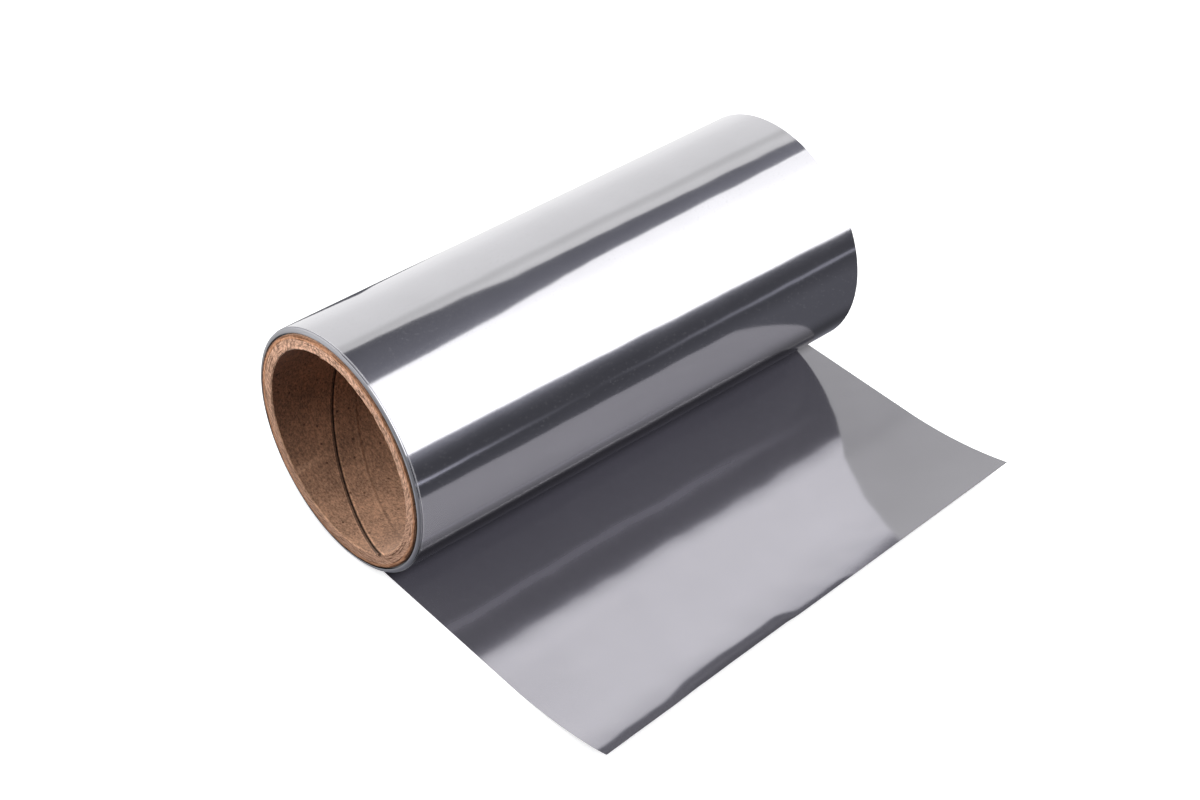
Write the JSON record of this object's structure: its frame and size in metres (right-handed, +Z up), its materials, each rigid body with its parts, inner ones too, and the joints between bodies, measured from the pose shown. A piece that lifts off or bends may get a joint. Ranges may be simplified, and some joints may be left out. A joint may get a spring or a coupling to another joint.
{
  "type": "cake collar roll",
  "caption": "Roll of glossy silver-grey plastic film on a paper core, with its free end drawn off underneath and curling up in front.",
  "frame": {"origin": "middle of the core's bore axis, half-way along the core", "axes": "+X along the bore axis, away from the end where the core stands proud of the film; +Z up; the free end of the film leaves the underside of the roll towards -Y"},
  "size_m": [0.2081, 0.1841, 0.0919],
  "materials": {
    "kraft_paperboard": "spiral-wound kraft board, dull, sawn ends",
    "glossy_film": "mirror-gloss silver-grey film"
  },
  "bodies": {
    "root": {"core_tube": "kraft_paperboard", "film": "glossy_film"}
  },
  "joints": []
}
